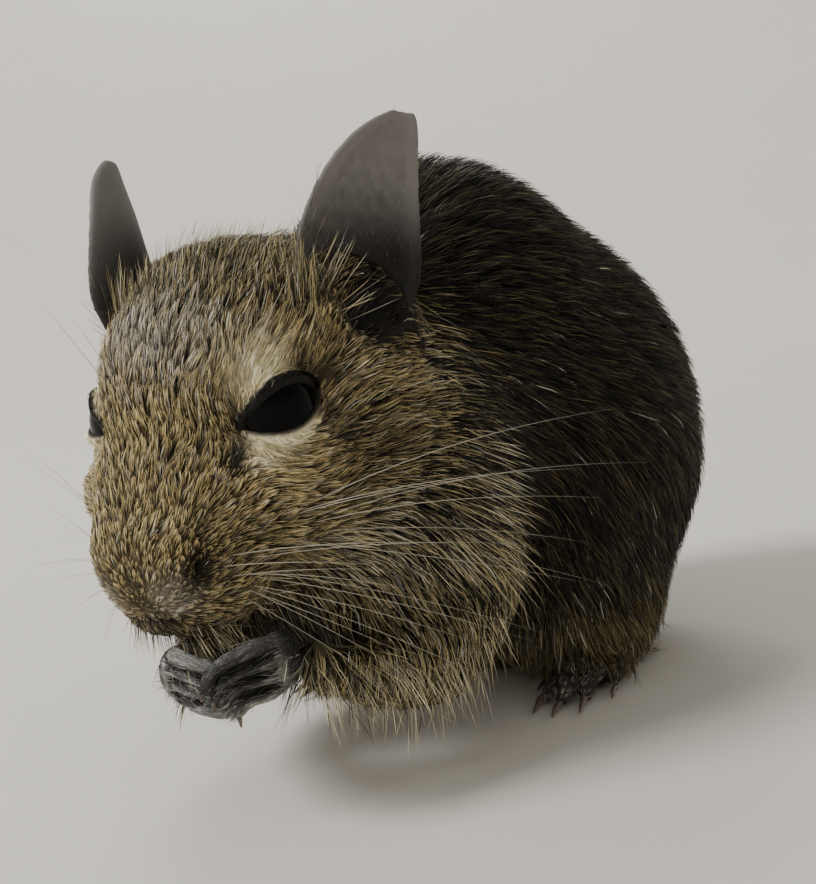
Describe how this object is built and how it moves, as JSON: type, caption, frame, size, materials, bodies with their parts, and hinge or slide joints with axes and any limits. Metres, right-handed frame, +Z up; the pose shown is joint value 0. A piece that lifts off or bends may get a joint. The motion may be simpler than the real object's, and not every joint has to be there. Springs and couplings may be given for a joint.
{
  "type": "degu",
  "caption": "Life-size still model of a degu sitting hunched with its hands clasped at its mouth, brown agouti coat, dark ears and tufted tail.",
  "frame": {"origin": "middle of the footprint box, on the floor", "axes": "+Z up; the animal faces -Y and its left side is +X; +Y runs from the nose to the tail"},
  "size_m": [0.1168, 0.1684, 0.0787],
  "materials": {
    "coat": "agouti fur, dark brown with buff tips",
    "tail_brush": "long black-brown hair",
    "ear_skin": "thin dark grey skin with short down",
    "paw_skin": "grey skin with short silvery hair",
    "claw_horn": "dark translucent horn",
    "eye": "wet black"
  },
  "bodies": {
    "root": {"head": "coat", "neck": "coat", "trunk": "coat", "tail_base": "coat", "tail_middle": "coat", "tail_brush": "tail_brush", "ear_left": "ear_skin", "eye_left": "eye", "arm_left": "coat", "thigh_left": "coat", "hand_left": "paw_skin", "foot_left": "paw_skin", "nail_left_1": "claw_horn", "nail_left_2": "claw_horn", "nail_left_3": "claw_horn", "nail_left_4": "claw_horn", "claw_left_1": "claw_horn", "claw_left_2": "claw_horn", "claw_left_3": "claw_horn", "claw_left_4": "claw_horn", "claw_left_5": "claw_horn", "ear_right": "ear_skin", "eye_right": "eye", "arm_right": "coat", "thigh_right": "coat", "hand_right": "paw_skin", "foot_right": "paw_skin", "nail_right_1": "claw_horn", "nail_right_2": "claw_horn", "nail_right_3": "claw_horn", "nail_right_4": "claw_horn", "claw_right_1": "claw_horn", "claw_right_2": "claw_horn", "claw_right_3": "claw_horn", "claw_right_4": "claw_horn", "claw_right_5": "claw_horn"}
  },
  "joints": []
}
